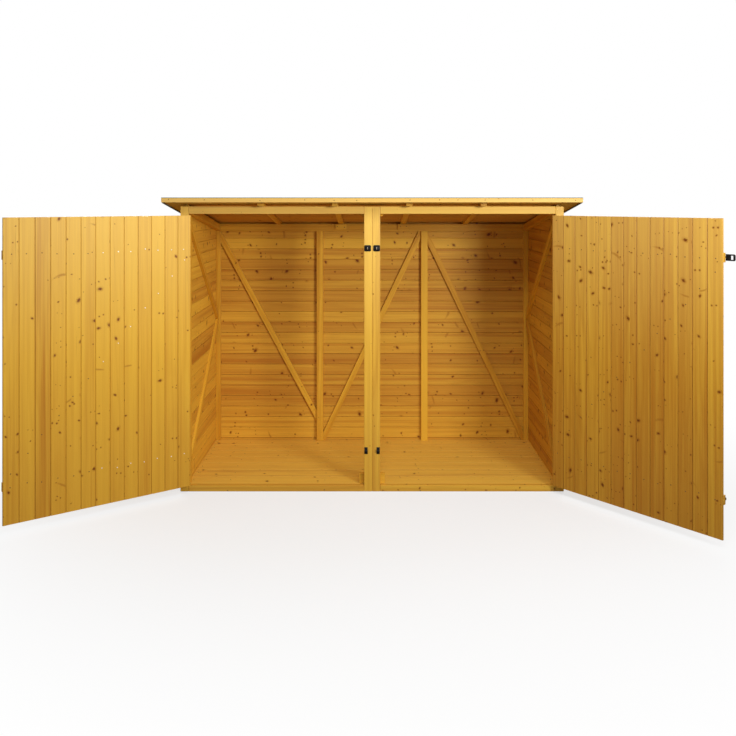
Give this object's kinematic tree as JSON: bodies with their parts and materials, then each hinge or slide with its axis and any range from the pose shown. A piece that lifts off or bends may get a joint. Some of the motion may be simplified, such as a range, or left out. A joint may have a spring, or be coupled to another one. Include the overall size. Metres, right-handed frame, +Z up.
{
  "type": "timber bicycle shelter with double doors",
  "caption": "Low timber bicycle shed with a felted mono-pitch roof, boarded walls and floor, and two ledged and braced doors that open the whole front.",
  "frame": {"origin": "on the ground in the middle of the shed's footprint, under the middle floor joist", "axes": "+X to the right along the front, +Y to the back, +Z up"},
  "size_m": [3.1034, 1.5293, 1.4561],
  "materials": {
    "frame_timber": "planed spruce battens, honey-brown glaze",
    "wall_boards": "tongued and grooved spruce boards, honey-brown glaze, knots",
    "door_boards": "tongued and grooved spruce boards, honey-brown glaze, knots",
    "floor_boards": "planed spruce boards, honey-brown glaze",
    "roof_boards": "spruce boards, honey-brown glaze",
    "roofing_felt": "bitumen roofing felt with green-grey mineral grit",
    "black_ironwork": "black coated steel"
  },
  "bodies": {
    "shed": {"floor_joists": "frame_timber", "floor_deck": "floor_boards", "left_sill": "frame_timber", "right_sill": "frame_timber", "left_post": "frame_timber", "middle_left_post": "frame_timber", "middle_right_post": "frame_timber", "right_post": "frame_timber", "left_top_rail": "frame_timber", "right_top_rail": "frame_timber", "top_stop": "frame_timber", "bottom_stop": "frame_timber", "back_wall": "wall_boards", "back_top_rail": "frame_timber", "back_studs": "frame_timber", "back_braces": "frame_timber", "left_wall": "wall_boards", "right_wall": "wall_boards", "left_wall_studs": "frame_timber", "right_wall_studs": "frame_timber", "left_wall_rail": "frame_timber", "right_wall_rail": "frame_timber", "left_wall_braces": "frame_timber", "right_wall_braces": "frame_timber", "rafters": "frame_timber", "rafter_cleats": "frame_timber", "roof_deck": "roof_boards", "roof_felt": "roofing_felt", "fascia": "frame_timber", "hinge_plates": "black_ironwork", "hasp_staples": "black_ironwork", "bolt_keepers": "black_ironwork"},
    "left_door": {"left_door_boards": "door_boards", "left_door_ledges": "frame_timber", "left_door_brace": "frame_timber", "left_hinge_straps": "black_ironwork", "left_hasp_base": "black_ironwork", "left_door_bolt": "black_ironwork"},
    "right_door": {"right_door_boards": "door_boards", "right_door_ledges": "frame_timber", "right_door_brace": "frame_timber", "right_hinge_straps": "black_ironwork", "right_hasp_base": "black_ironwork", "right_door_bolt": "black_ironwork"},
    "left_hasp": {"left_hasp_leaf": "black_ironwork"},
    "right_hasp": {"right_hasp_leaf": "black_ironwork"}
  },
  "joints": [
    {"name": "left_door_hinge", "type": "hinge", "parent": "shed", "child": "left_door", "pos_m": [-0.907, -0.4, 0.7], "axis": [0, 0, -1], "range_deg": [-144.3, 25.7]},
    {"name": "left_hasp_hinge", "type": "hinge", "parent": "left_door", "child": "left_hasp", "pos_m": [-1.59971, -0.89776, 1.205], "axis": [0, 0, -1], "range_deg": [-118, 32]},
    {"name": "right_door_hinge", "type": "hinge", "parent": "shed", "child": "right_door", "pos_m": [0.907, -0.4, 0.7], "axis": [0, 0, 1], "range_deg": [-130.6, 39.4]},
    {"name": "right_hasp_hinge", "type": "hinge", "parent": "right_door", "child": "right_hasp", "pos_m": [1.46211, -1.04766, 1.205], "axis": [0, 0, 1], "range_deg": [0, 150]}
  ]
}
